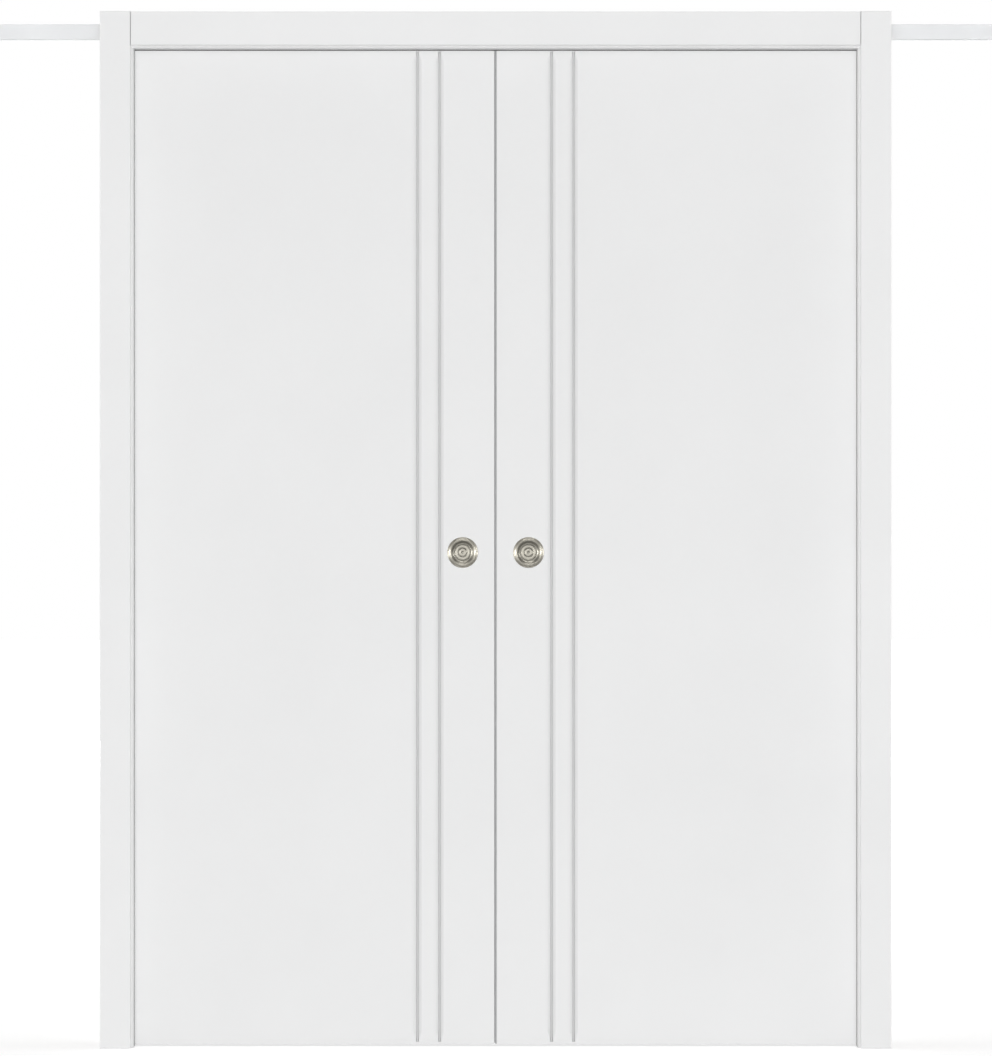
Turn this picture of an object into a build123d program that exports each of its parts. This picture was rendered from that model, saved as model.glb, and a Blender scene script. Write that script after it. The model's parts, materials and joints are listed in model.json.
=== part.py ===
from build123d import *
import os

# Double pocket door in its frame: two grooved leaves hang on four-wheeled hangers in a pair of
# rails, meet in the middle of the doorway and slide sideways into the two wall pockets.
# Millimetres, +Z up. The front faces -Y. The origin is on the floor, in the middle of the
# frame's width and depth. Each piece is described for the right side and the front, and the
# other side and the back mirror it.

# Leaves
door_width = 762.0
door_height = 2032.0
door_thickness = 40.0
floor_gap = 4.0
meeting_gap = 4.5
leaf_edge_radius = 1.0
slide_travel = 630.0

# Grooves cut down both faces of a leaf
groove_count = 2
first_groove_inset = 112.0
groove_spacing = 45.0
groove_width = 17.0
groove_shoulder_depth = 3.4
groove_core_width = 6.0
groove_root_width = 3.0
groove_depth = 10.0
groove_runout = 20.0
groove_bottom_margin = 5.0
groove_top_margin = 7.0

# Seals in the meeting edges, whose fins pass each other at two depths
seal_thickness = 2.0
seal_root = 5.0
seal_overlap = 0.9
seal_depth = 13.0
seal_nose_radius = 0.8

# Flush pulls
pull_inset = 65.05
pull_height = 1007.0
pull_radius = 31.5
pull_rim_inner_radius = 22.8
pull_bead_width = 2.4
pull_bead_height = 1.5
pull_rim_height = 2.3
pull_rim_foot = 0.8
cup_floor_radius = 19.6
cup_depth = 7.2
cup_wall = 1.5
ring_groove_radii = (8.8, 16.3)
ring_groove_width = 2.0
ring_groove_depth = 0.7
ring_step = 0.35
dimple_radius = 2.0
dimple_depth = 0.8
pull_bore_clearance = 0.2
pull_bore_spare_depth = 0.6

# Wall and frame
wall_depth = 116.0
slot_clearance = 5.0
pocket_hold = 28.25
head_cover = 4.0
jamb_thickness = 20.0
jamb_edge_radius = 2.0

# Casings, with a tongue that plugs into the edge of a jamb
reveal = 6.0
casing_width = 62.0
head_casing_width = 68.0
casing_thickness = 12.0
casing_edge_radius = 1.6
casing_top_lead = 1.0
casing_joint = 0.4
tongue_thickness = 6.0
tongue_length = 22.0
tongue_inset = 4.0
tongue_clearance = 0.2
tongue_end_clearance = 1.0

# Studs, header board, cleats and floor brackets
board_thickness = 12.5
stud_width = 38.0
header_thickness = 18.0
bracket_thickness = 2.5
bracket_height = 60.0
bracket_bend_radius = 4.0
bracket_hole_spacing = 24.0
bracket_hole_radius = 2.75

# Hanger wheels and axles
wheel_radius = 11.0
wheel_width = 5.6
wheel_edge_chamfer = 0.6
wheel_hub_radius = 4.5
wheel_hub_lead = 0.6
wheel_web_recess = 1.2
wheel_rim_thickness = 2.4
axle_radius = 2.0
axle_head_radius = 3.4
axle_head_thickness = 1.0
axle_spacing = 40.0
wheel_running_clearance = 0.05
axle_seat_clearance = 0.02
wheel_side_clearance = 0.3

# Hanger carriages, bolts and plates
hanger_inset = 74.0
carriage_length = 68.0
carriage_width = 10.4
carriage_height = 14.0
carriage_end_radius = 6.0
bolt_radius = 4.0
bolt_clearance = 0.1
bolt_head_radius = 7.5
bolt_head_thickness = 3.2
collar_across_flats = 13.0
collar_thickness = 5.0
collar_lift = 0.1
plate_thickness = 2.5
plate_width = 26.0
plate_foot_length = 27.0
bridge_length = 44.0
bridge_height = 12.5
plate_bend_radius = 3.0
plate_slot_clearance = 0.3
plate_screw_spacing = 14.0
collar_headroom = 1.4

# Rails
rail_wall = 2.2
rail_roof = 3.0
rail_flange = 2.5
rail_side_clearance = 1.4
rail_headroom = 2.2
rail_slot_clearance = 1.5
rail_corner_radius = 0.8
rail_joint = 0.5
wheel_lift = 0.3
rail_tail = 3.0
rail_screw_count = 3
first_rail_screw = 150.0
rail_screw_spacing = 270.0
pocket_hole_lead = 150.0
pocket_hole_spacing = 300.0

# Stops and floor guides
stop_gap = 0.5
stop_side_clearance = 0.2
stop_screw_inset = 20.0
stop_seat_thickness = 3.0
end_stop_length = 26.0
end_cap_thickness = 2.5
stop_nose_chamfer = 0.5
guide_clearance = 0.6
guide_length = 46.0
guide_screw_inset = 14.0
guide_height = 40.0
guide_lift = 3.0
guide_lead = 2.0
guide_edge_radius = 1.5
guide_seat_thickness = 1.4

# Screws
short_screw_length = 15.0
short_screw_radius = 2.0
short_head_radius = 4.0
short_head_thickness = 2.6
short_head_chamfer = 0.9
countersunk_radius = 2.25
countersunk_head_radius = 4.5
countersunk_head_depth = 2.4
long_screw_length = 68.0
stud_screw_length = 50.0
screw_point_length = 4.0
screw_point_radius = 0.4
screw_hole_clearance = 0.1
counterbore_clearance = 0.5
pilot_spare_depth = 1.0
frame_screw_edge_distance = 5.0
header_screw_places = (200.0, 600.0)
stud_screw_heights = (150.0, 1000.0, 1850.0)

# Leaf places
leaf_inner = meeting_gap / 2
leaf_outer = leaf_inner + door_width
leaf_face = door_thickness / 2
door_top = floor_gap + door_height

# Frame places
jamb_inner = leaf_outer - pocket_hold
jamb_outer = jamb_inner + jamb_thickness
slot_face = leaf_face + slot_clearance
wall_face = wall_depth / 2
casing_face = wall_face + casing_thickness
casing_inner = jamb_inner + reveal
casing_outer = casing_inner + casing_width
head_under = door_top - head_cover
head_over = head_under + jamb_thickness
head_casing_under = head_under + reveal
head_casing_top = head_casing_under + head_casing_width
stud_outer = jamb_outer + stud_width
stud_face = wall_face - board_thickness
screw_line = slot_face + frame_screw_edge_distance

# Hanger places across the rail's depth
wheel_inner = carriage_width / 2 + wheel_side_clearance
wheel_outer = wheel_inner + wheel_width + 2 * wheel_hub_lead
axle_end = wheel_outer + wheel_side_clearance
rail_inner_half = axle_end + axle_head_thickness + rail_side_clearance
rail_outer_half = rail_inner_half + rail_wall
rail_slot_half = bolt_radius + rail_slot_clearance

# Hanger and rail heights
bridge_top = door_top + bridge_height
bridge_under = bridge_top - plate_thickness
collar_under = bridge_top + collar_lift
rail_bottom = collar_under + collar_thickness + collar_headroom
rail_track = rail_bottom + rail_flange
axle_height = rail_track + wheel_lift + wheel_radius
rail_ceiling = axle_height + wheel_radius + rail_headroom
rail_top = rail_ceiling + rail_roof
header_top = rail_top + header_thickness

# Hanger, stop and rail lengths
hanger_places = (leaf_inner + hanger_inset, leaf_outer - hanger_inset)
centre_stop_half = hanger_places[0] - carriage_length / 2 - stop_gap
end_stop_face = hanger_places[1] + carriage_length / 2 + slide_travel + stop_gap
rail_end = end_stop_face + end_stop_length + rail_tail
rail_screw_places = [first_rail_screw + rail_screw_spacing * n for n in range(rail_screw_count)]
pocket_holes = [stud_outer + pocket_hole_lead + pocket_hole_spacing * n for n in range(2)]


def block(x_span, y_span, z_span):
    """A box between two planes each way."""
    sizes = [high - low for low, high in (x_span, y_span, z_span)]
    corner = Pos(x_span[0], y_span[0], z_span[0])
    return corner * Box(*sizes, align=(Align.MIN, Align.MIN, Align.MIN))


def left(right_piece):
    """The same piece on the other side of the doorway."""
    return mirror(right_piece, about=Plane.YZ)


def back(front_piece):
    """The same piece on the other face of the wall."""
    return mirror(front_piece, about=Plane.XZ)


def standing(place, radius, height):
    """A round bar that stands on its place."""
    return place * Cylinder(radius, height, align=(Align.CENTER, Align.CENTER, Align.MIN))


def group(pieces):
    """Separate solids that share one node."""
    solids = [solid for piece in pieces for solid in piece.solids()]
    return Compound(solids)


# Screws lie with the head's seat at the origin and the shank along +Z.

def short_screw():
    """A pan head wood screw."""
    head = Pos(0, 0, -short_head_thickness) * standing(Pos(), short_head_radius, short_head_thickness)
    head = chamfer(head.faces().sort_by(Axis.Z)[0].edges(), short_head_chamfer)
    straight = short_screw_length - screw_point_length
    shank = standing(Pos(), short_screw_radius, straight)
    point = Pos(0, 0, straight + screw_point_length / 2)
    return head + shank + point * Cone(short_screw_radius, screw_point_radius, screw_point_length)


def countersunk_screw(length):
    """A countersunk wood screw, its head's top at the origin."""
    cone_middle = Pos(0, 0, countersunk_head_depth / 2)
    head = cone_middle * Cone(countersunk_head_radius, countersunk_radius, countersunk_head_depth)
    shank_top = Pos(0, 0, countersunk_head_depth)
    straight = length - screw_point_length - countersunk_head_depth
    shank = standing(shank_top, countersunk_radius, straight)
    point = Pos(0, 0, length - screw_point_length / 2)
    return head + shank + point * Cone(countersunk_radius, screw_point_radius, screw_point_length)


def short_screw_hole():
    """The hole that a short screw bites into."""
    depth = short_screw_length + pilot_spare_depth
    return standing(Pos(), short_screw_radius + screw_hole_clearance, depth)


def countersunk_hole(length):
    """The hole of a countersunk screw, with its conical mouth."""
    wide = countersunk_head_radius + screw_hole_clearance
    narrow = countersunk_radius + screw_hole_clearance
    mouth = Pos(0, 0, countersunk_head_depth / 2) * Cone(wide, narrow, countersunk_head_depth)
    return mouth + standing(Pos(), narrow, length + pilot_spare_depth)


# Places of the screws. Each place turns +Z to the way that the screw is driven.

def plate_screw_places():
    """Four screws in each hanger plate of the right leaf, driven down."""
    foot_middle = bridge_length / 2 + plate_foot_length / 2
    seat = door_top + plate_thickness
    return [
        Pos(hanger + side * foot_middle, row * plate_screw_spacing / 2, seat) * Rot(180, 0, 0)
        for hanger in hanger_places
        for side in (-1, 1)
        for row in (-1, 1)
    ]


def rail_screw_places_up():
    """Screws through the right rail's roof, driven up into the header board."""
    return [Pos(place, 0, rail_ceiling) for place in rail_screw_places]


def stop_screw_place():
    """The screw through the right half of the centre stop, driven up."""
    return Pos(stop_screw_inset, 0, rail_ceiling - stop_seat_thickness)


def bracket_screw_place():
    """The screw through the right bracket's front tab, driven into the stud."""
    middle = (slot_face + stud_face) / 2
    seat = stud_outer + bracket_thickness
    return Pos(seat, -middle, bracket_height * 0.7) * Rot(0, -90, 0)


def guide_screw_place():
    """The screw through the right front guide, driven forwards into the stud."""
    place = jamb_inner + guide_lead + guide_length - guide_screw_inset
    seat = slot_face - guide_seat_thickness
    return Pos(place, -seat, guide_lift + guide_height / 2) * Rot(90, 0, 0)


def header_screw_places_down():
    """Long screws down through the header board and cleat into the head jamb, right front."""
    return [Pos(place, -screw_line, header_top) * Rot(180, 0, 0) for place in header_screw_places]


def stud_screw_places():
    """Screws through the right front stud into its jamb, and the one down into its top."""
    across = [Pos(stud_outer, -screw_line, height) * Rot(0, -90, 0) for height in stud_screw_heights]
    stud_middle = (jamb_outer + stud_outer) / 2
    down = Pos(stud_middle, -(slot_face + stud_face) / 2, header_top) * Rot(180, 0, 0)
    return across + [down]


# Leaves

def groove_ends():
    """The lowest and highest point that both cutters of a groove reach."""
    return floor_gap + groove_bottom_margin, door_top - groove_top_margin


def groove_shoulders():
    """The shallow form cutter of a groove, which lifts out of the front face at both ends."""
    face = -leaf_face
    half = groove_width / 2
    core = groove_core_width / 2
    above = face - groove_shoulder_depth
    below = face + groove_shoulder_depth
    outline = [(-half, above), (-half, face), (-core, below), (core, below), (half, face), (half, above)]
    low, high = groove_ends()
    straight = high - low - 2 * groove_runout
    profile = Pos(0, 0, low + groove_runout) * make_face(Polyline(*outline, close=True))
    cutter = extrude(profile, straight, dir=(0, 0, 1))
    for end, start in ((-1, profile), (1, Pos(0, 0, straight) * profile)):
        lift = Vector(0, -groove_shoulder_depth, end * groove_runout)
        cutter += extrude(start, lift.length, dir=lift)
    return cutter


def groove_core():
    """The deep slot in the middle of a groove, which ends square."""
    face = -leaf_face
    core = groove_core_width / 2
    root = groove_root_width / 2
    outline = [(-core, face), (-root, face + groove_depth), (root, face + groove_depth), (core, face)]
    low, high = groove_ends()
    profile = Pos(0, 0, low) * make_face(Polyline(*outline, close=True))
    return extrude(profile, high - low, dir=(0, 0, 1))


def pull_bore():
    """The blind hole for a flush pull in the front face."""
    radius = cup_outer_radius() + pull_bore_clearance
    depth = cup_depth + dimple_depth + cup_wall + pull_bore_spare_depth
    mouth = Pos(leaf_inner + pull_inset, -leaf_face, pull_height) * Rot(-90, 0, 0)
    return standing(mouth, radius, depth)


def leaf():
    """The right leaf, with its grooves, the slot of its seal and the seats of its pulls and plates."""
    depth = (-leaf_face, leaf_face)
    slab = block((leaf_inner, leaf_outer), depth, (floor_gap, door_top))
    slab = fillet(slab.edges(), leaf_edge_radius)
    cuts = [pull_bore()]
    for number in range(groove_count):
        place = leaf_inner + first_groove_inset + groove_spacing * number
        cuts += [Pos(place, 0, 0) * groove_shoulders(), Pos(place, 0, 0) * groove_core()]
    for cut in cuts:
        slab = slab - cut - back(cut)
    for place in plate_screw_places():
        slab = slab - place * short_screw_hole()
    return slab - seal_strip(leaf_inner - seal_root)


def seal_strip(nose):
    """The strip along the right leaf's meeting edge, from its root in the leaf to its nose."""
    low = -seal_depth - seal_thickness / 2
    return block((nose, leaf_inner + seal_root), (low, low + seal_thickness), (floor_gap, door_top))


def edge_seal():
    """The right leaf's seal, whose fin reaches past the middle of the gap."""
    strip = seal_strip(-seal_overlap)
    nose = strip.faces().sort_by(Axis.X)[0].edges().filter_by(Axis.Z)
    return fillet(nose, seal_nose_radius)


# Flush pulls

def cup_outer_radius():
    """The outside of the cup, which fills the bore in the leaf."""
    return pull_rim_inner_radius + cup_wall


def pull():
    """The right front flush pull, turned in one piece: beaded rim, round cup and ringed floor."""
    half = ring_groove_width / 2
    level = -cup_depth
    floor = [(0, level - dimple_depth), (dimple_radius - dimple_depth, level - dimple_depth)]
    floor.append((dimple_radius, level))
    for radius in ring_groove_radii:
        low = level - ring_groove_depth
        floor += [(radius - half, level), (radius - half / 2, low), (radius + half / 2, low)]
        level += ring_step
        floor.append((radius + half, level))
    floor.append((cup_floor_radius, level))
    floor.append((pull_rim_inner_radius, pull_rim_foot))
    bead_inner = pull_radius - pull_bead_width
    bottom = -cup_depth - dimple_depth - cup_wall
    outside = [
        (pull_radius, 0),
        (cup_outer_radius(), 0),
        (cup_outer_radius(), bottom),
        (0, bottom),
        floor[0],
    ]
    rim_middle = (pull_rim_inner_radius + bead_inner) / 2
    bead_middle = pull_radius - pull_bead_width / 2
    outline = Polyline(*floor)
    outline += ThreePointArc(floor[-1], (rim_middle, pull_rim_height), (bead_inner, pull_rim_foot))
    outline += ThreePointArc((bead_inner, pull_rim_foot), (bead_middle, pull_bead_height), (pull_radius, 0))
    outline += Polyline(*outside)
    turned = revolve(make_face(outline), Axis.Y)
    return Pos(leaf_inner + pull_inset, -leaf_face, pull_height) * Rot(180, 0, 0) * turned


# Hangers

def hanger_plate(place):
    """A folded strip: two feet screwed to the leaf's top and a bridge with a slot for the bolt."""
    foot_end = bridge_length / 2 + plate_foot_length
    outer = bridge_length / 2
    inner = outer - plate_thickness
    over = [(foot_end, plate_thickness), (outer, plate_thickness), (outer, bridge_height)]
    under = [(inner, bridge_height - plate_thickness), (inner, 0), (foot_end, 0)]
    right_half = over + [(-x, z) for x, z in reversed(over)]
    left_half = [(-x, z) for x, z in reversed(under)] + under
    outline = make_face(Polyline(*right_half, *left_half, close=True))
    bends = outline.vertices().group_by(Axis.Y)[-1]
    outline = fillet(bends, plate_bend_radius)
    strip = extrude(Plane.XZ * outline, plate_width / 2, both=True)
    slot_radius = bolt_radius + plate_slot_clearance
    slot = standing(Pos(), slot_radius, 2 * bridge_height)
    slot += block((-slot_radius, slot_radius), (-plate_width, 0), (plate_thickness, 2 * bridge_height))
    placed = Pos(place, 0, door_top) * (strip - slot)
    for screw_place in plate_screw_places():
        placed -= screw_place * Pos(0, 0, -plate_thickness) * short_screw_hole()
        placed -= screw_place * short_screw_hole()
    return placed


def hanger_bolt(place):
    """A bolt with its head under the bridge and a hexagonal collar to turn it by."""
    head_under = bridge_under - collar_lift - bolt_head_thickness
    head = standing(Pos(place, 0, head_under), bolt_head_radius, bolt_head_thickness)
    carriage_top = axle_height + carriage_height / 2
    shank = standing(Pos(place, 0, head_under), bolt_radius, carriage_top - head_under)
    hexagon = RegularPolygon(collar_across_flats / 2, 6, major_radius=False)
    collar = extrude(Pos(place, 0, collar_under) * hexagon, collar_thickness)
    return head + shank + collar


def axle_places(place):
    """Where the two axles of a hanger cross the rail."""
    return [Pos(place + side * axle_spacing / 2, 0, axle_height) * Rot(90, 0, 0) for side in (-1, 1)]


def carriage(place):
    """The cast block that carries the axles and is threaded for the bolt."""
    side = Rectangle(carriage_length, carriage_height)
    side = fillet(side.vertices(), carriage_end_radius)
    cast = Pos(place, 0, axle_height) * extrude(Plane.XZ * side, carriage_width / 2, both=True)
    for axle_place in axle_places(place):
        cast -= axle_place * Cylinder(axle_radius + axle_seat_clearance, 2 * carriage_width)
    bolt_hole = Cylinder(bolt_radius + bolt_clearance, 2 * carriage_height)
    return cast - Pos(place, 0, axle_height) * bolt_hole


def axle(place):
    """A pin riveted over at both ends, which keeps the two wheels on."""
    pin = Cylinder(axle_radius, 2 * axle_end)
    head = standing(Pos(0, 0, axle_end), axle_head_radius, axle_head_thickness)
    return place * (pin + head + mirror(head, about=Plane.XY))


def wheel():
    """One turned wheel about the Z axis: hub, recessed web and rim."""
    bore = axle_radius + wheel_running_clearance
    rim_low = wheel_inner + wheel_hub_lead
    rim_high = rim_low + wheel_width
    web_radius = wheel_radius - wheel_rim_thickness
    outline = [
        (bore, wheel_inner),
        (wheel_hub_radius, wheel_inner),
        (wheel_hub_radius, rim_low + wheel_web_recess),
        (web_radius, rim_low + wheel_web_recess),
        (web_radius, rim_low),
        (wheel_radius, rim_low),
        (wheel_radius, rim_high),
        (web_radius, rim_high),
        (web_radius, rim_high - wheel_web_recess),
        (wheel_hub_radius, rim_high - wheel_web_recess),
        (wheel_hub_radius, wheel_outer),
        (bore, wheel_outer),
    ]
    section = make_face(Polyline(*outline, close=True))
    tread = section.vertices().group_by(Axis.X)[-1]
    section = chamfer(tread, wheel_edge_chamfer)
    return revolve(Plane.XZ * section, Axis.Z)


def wheel_pair(axle_place):
    """The front and back wheels of one axle."""
    single = wheel()
    return group([axle_place * single, axle_place * mirror(single, about=Plane.XY)])


# Rails and stops

def rail():
    """The right rail: an extruded channel with two tracks and a slot between them."""
    outside = block((rail_joint / 2, rail_end), (-rail_outer_half, rail_outer_half), (rail_bottom, rail_top))
    outside = fillet(outside.edges().filter_by(Axis.X), rail_corner_radius)
    run = (0, rail_end + rail_joint)
    channel = block(run, (-rail_inner_half, rail_inner_half), (rail_track, rail_ceiling))
    channel = fillet(channel.edges().filter_by(Axis.X), rail_corner_radius)
    slot = block(run, (-rail_slot_half, rail_slot_half), (rail_bottom - rail_flange, rail_ceiling))
    channelled = outside - channel - slot
    for place in rail_screw_places_up() + [stop_screw_place()]:
        channelled -= place * short_screw_hole()
    for hole in pocket_holes:
        channelled -= Pos(hole, 0, rail_ceiling) * short_screw_hole()
    return channelled


def stop_block(x_span):
    """A stretch of a stop that fills the rail's channel."""
    half = rail_inner_half - stop_side_clearance
    low = rail_track + stop_side_clearance
    body = block(x_span, (-half, half), (low, rail_ceiling))
    return fillet(body.edges().filter_by(Axis.X), rail_corner_radius)


def centre_stop():
    """The moulded block that both inner hangers meet, and that lines up the two rails."""
    body = stop_block((-centre_stop_half, centre_stop_half))
    seat = stop_screw_place()
    bore = standing(Pos(), short_head_radius + counterbore_clearance, rail_ceiling)
    cut = seat * (mirror(bore, about=Plane.XY) + short_screw_hole())
    return body - cut - left(cut)


def end_stop():
    """The right end stop: a plug with a chamfered nose and a cap over the rail's end."""
    plug = stop_block((end_stop_face, rail_end))
    nose = plug.faces().sort_by(Axis.X)[0].edges()
    plug = chamfer(nose, stop_nose_chamfer)
    cap = block(
        (rail_end, rail_end + end_cap_thickness),
        (-rail_outer_half, rail_outer_half),
        (rail_bottom, rail_top),
    )
    cap = fillet(cap.edges().filter_by(Axis.X), rail_corner_radius)
    return plug + cap


# Frame

def jamb_tongue_slot(x_span, z_span):
    """The slot in a jamb's edge that takes a casing's tongue."""
    depth = tongue_length + tongue_end_clearance
    return block(x_span, (-wall_face - depth, -wall_face + depth), z_span)


def side_jamb():
    """The right front jamb beside the pocket slot."""
    body = block((jamb_inner, jamb_outer), (-wall_face, -slot_face), (0, head_under))
    seen_edges = body.edges().filter_by(Axis.Z).group_by(Axis.X)[0]
    body = fillet(seen_edges, jamb_edge_radius)
    low = casing_inner + tongue_inset - tongue_clearance
    high = casing_inner + tongue_inset + tongue_thickness + tongue_clearance
    body -= jamb_tongue_slot((low, high), (-jamb_thickness, head_over))
    screws = [place * countersunk_hole(stud_screw_length) for place in stud_screw_places()]
    return body - screws


def head_jamb():
    """The front head jamb, which lies on the side jambs."""
    body = block((-jamb_outer, jamb_outer), (-wall_face, -slot_face), (head_under, head_over))
    seen_edges = body.edges().filter_by(Axis.X).group_by(Axis.Z)[0]
    body = fillet(seen_edges, jamb_edge_radius)
    low = head_casing_under + tongue_inset - tongue_clearance
    high = head_casing_under + tongue_inset + tongue_thickness + tongue_clearance
    run = (-jamb_outer - jamb_thickness, jamb_outer + jamb_thickness)
    body -= jamb_tongue_slot(run, (low, high))
    return body - header_screw_holes()


def header_screw_holes():
    """The holes of all long screws on the front side."""
    right = [place * countersunk_hole(long_screw_length) for place in header_screw_places_down()]
    return right + [left(hole) for hole in right]


def tongue(x_span, z_span):
    """The flat tongue along a casing's back."""
    return block(x_span, (-wall_face, -wall_face + tongue_length), z_span)


def casing_plate(x_span, z_span):
    """The flat face of a casing, with its front edges eased."""
    plate = block(x_span, (-casing_face, -wall_face), z_span)
    return fillet(plate.faces().sort_by(Axis.Y)[0].edges(), casing_edge_radius)


def side_casing():
    """The right front casing, from the floor to just above the head casing."""
    plate = casing_plate((casing_inner, casing_outer), (0, head_casing_top + casing_top_lead))
    low = casing_inner + tongue_inset
    return plate + tongue((low, low + tongue_thickness), (0, head_under - tongue_clearance))


def head_casing():
    """The front head casing, which fits between the side casings."""
    end = casing_inner - casing_joint
    plate = casing_plate((-end, end), (head_casing_under, head_casing_top))
    low = head_casing_under + tongue_inset
    return plate + tongue((-jamb_inner, jamb_inner), (low, low + tongue_thickness))


def split_stud():
    """The right front half of the stud that carries the jamb at the pocket's mouth."""
    body = block((jamb_outer, stud_outer), (-stud_face, -slot_face), (bracket_thickness, rail_top))
    screws = [place * countersunk_hole(stud_screw_length) for place in stud_screw_places()]
    small_holes = [place * short_screw_hole() for place in (bracket_screw_place(), guide_screw_place())]
    return body - screws - small_holes


def header_board():
    """The board over both rails, which is fixed up under the wall's lintel."""
    board = block((-stud_outer, stud_outer), (-wall_face, wall_face), (rail_top, header_top))
    down = stud_screw_places()[-1] * countersunk_hole(stud_screw_length)
    cuts = header_screw_holes() + [down, left(down)]
    board = board - cuts - [back(cut) for cut in cuts]
    up = [place * short_screw_hole() for place in rail_screw_places_up() + [stop_screw_place()]]
    return board - up - [left(hole) for hole in up]


def header_cleat():
    """The front batten between the head jamb and the header board."""
    batten = block((-jamb_outer, jamb_outer), (-wall_face, -slot_face), (head_over, rail_top))
    return batten - header_screw_holes()


def floor_bracket():
    """The right folded plate that ties both half studs and is fixed to the floor."""
    outer = stud_outer + bracket_thickness
    corners = [
        (jamb_outer, 0),
        (outer, 0),
        (outer, bracket_height),
        (stud_outer, bracket_height),
        (stud_outer, bracket_thickness),
        (jamb_outer, bracket_thickness),
    ]
    outline = make_face(Polyline(*corners, close=True))
    bend = outline.vertices().group_by(Axis.X)[-1].sort_by(Axis.Y)[0]
    outline = fillet(bend, bracket_bend_radius)
    folded = extrude(Plane.XZ * outline, stud_face, both=True)
    way_through = block((jamb_outer, 2 * outer), (-slot_face, slot_face), (bracket_thickness, 2 * outer))
    screw = bracket_screw_place() * Pos(0, 0, -bracket_thickness) * short_screw_hole()
    folded = folded - way_through - screw - back(screw)
    middle = (jamb_outer + stud_outer) / 2
    for side in (-1, 1):
        hole = Cylinder(bracket_hole_radius, 2 * bracket_height)
        folded -= Pos(middle, side * bracket_hole_spacing / 2, 0) * hole
    return folded


def floor_guide():
    """The right front guide at the pocket's mouth, which keeps the leaf's foot in line."""
    low = jamb_inner + guide_lead
    y_span = (-slot_face, -leaf_face - guide_clearance)
    pad = block((low, low + guide_length), y_span, (guide_lift, guide_lift + guide_height))
    pad = fillet(pad.faces().sort_by(Axis.Y)[-1].edges(), guide_edge_radius)
    seat = guide_screw_place()
    bore = standing(Pos(), short_head_radius + counterbore_clearance, slot_clearance)
    return pad - seat * mirror(bore, about=Plane.XY) - seat * short_screw_hole()


def on_four_corners(piece):
    """One piece for each of right and left, front and back."""
    pair = [piece, left(piece)]
    return pair + [back(one) for one in pair]


def frame_short_screws():
    """All pan head screws of the frame."""
    single = short_screw()
    overhead = [place * single for place in rail_screw_places_up() + [stop_screw_place()]]
    overhead += [left(screw) for screw in overhead]
    low = on_four_corners(bracket_screw_place() * single)
    low += on_four_corners(guide_screw_place() * single)
    return group(overhead + low)


def screws_on_four_corners(single, places):
    """The same screws at all four corners, as one group."""
    return group([piece for place in places for piece in on_four_corners(place * single)])


def leaf_nodes():
    """The pieces that slide with the right leaf, by name."""
    nodes = {"pull_front": pull(), "pull_back": back(pull())}
    single = short_screw()
    nodes["plate_screws"] = group([place * single for place in plate_screw_places()])
    nodes["hanger_bolts"] = group([hanger_bolt(place) for place in hanger_places])
    all_axles = [axle(spot) for place in hanger_places for spot in axle_places(place)]
    nodes["wheel_axles"] = group(all_axles)
    for name, place in zip(("inner", "outer"), hanger_places):
        nodes["hanger_plate_" + name] = hanger_plate(place)
        nodes["carriage_" + name] = carriage(place)
        for end, spot in zip(("near", "far"), axle_places(place)):
            nodes["wheels_" + name + "_" + end] = wheel_pair(spot)
    return nodes


def turned_nodes():
    """The pieces of the right leaf whose twins are turned round the middle, so that the fins pass."""
    return {"slab": leaf(), "edge_seal": edge_seal()}


def side_nodes():
    """The fixed pieces at the right of the doorway, by name."""
    guides = group([floor_guide(), back(floor_guide())])
    return {
        "casing_front": side_casing(),
        "casing_back": back(side_casing()),
        "jamb_front": side_jamb(),
        "jamb_back": back(side_jamb()),
        "stud_front": split_stud(),
        "stud_back": back(split_stud()),
        "floor_bracket": floor_bracket(),
        "floor_guides": guides,
        "rail": rail(),
        "end_stop": end_stop(),
    }


def middle_nodes():
    """The fixed pieces that cross the doorway, by name."""
    short, long = countersunk_screw(stud_screw_length), countersunk_screw(long_screw_length)
    stud_screws = screws_on_four_corners(short, stud_screw_places())
    header_screws = screws_on_four_corners(long, header_screw_places_down())
    return {
        "head_casing_front": head_casing(),
        "head_casing_back": back(head_casing()),
        "head_jamb_front": head_jamb(),
        "head_jamb_back": back(head_jamb()),
        "header_cleat_front": header_cleat(),
        "header_cleat_back": back(header_cleat()),
        "header_board": header_board(),
        "centre_stop": centre_stop(),
        "pan_head_screws": frame_short_screws(),
        "countersunk_screws": group([header_screws, stud_screws]),
    }


def main():
    os.makedirs("parts", exist_ok=True)
    for name, piece in (leaf_nodes() | side_nodes()).items():
        export_step(piece, "parts/right_" + name + ".step")
        export_step(left(piece), "parts/left_" + name + ".step")
    for name, piece in turned_nodes().items():
        export_step(piece, "parts/right_" + name + ".step")
        export_step(Rot(0, 0, 180) * piece, "parts/left_" + name + ".step")
    for name, piece in middle_nodes().items():
        export_step(piece, "parts/" + name + ".step")


main()
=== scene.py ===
import json
import math

import bmesh
import bpy
from mathutils import Matrix, Vector


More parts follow.
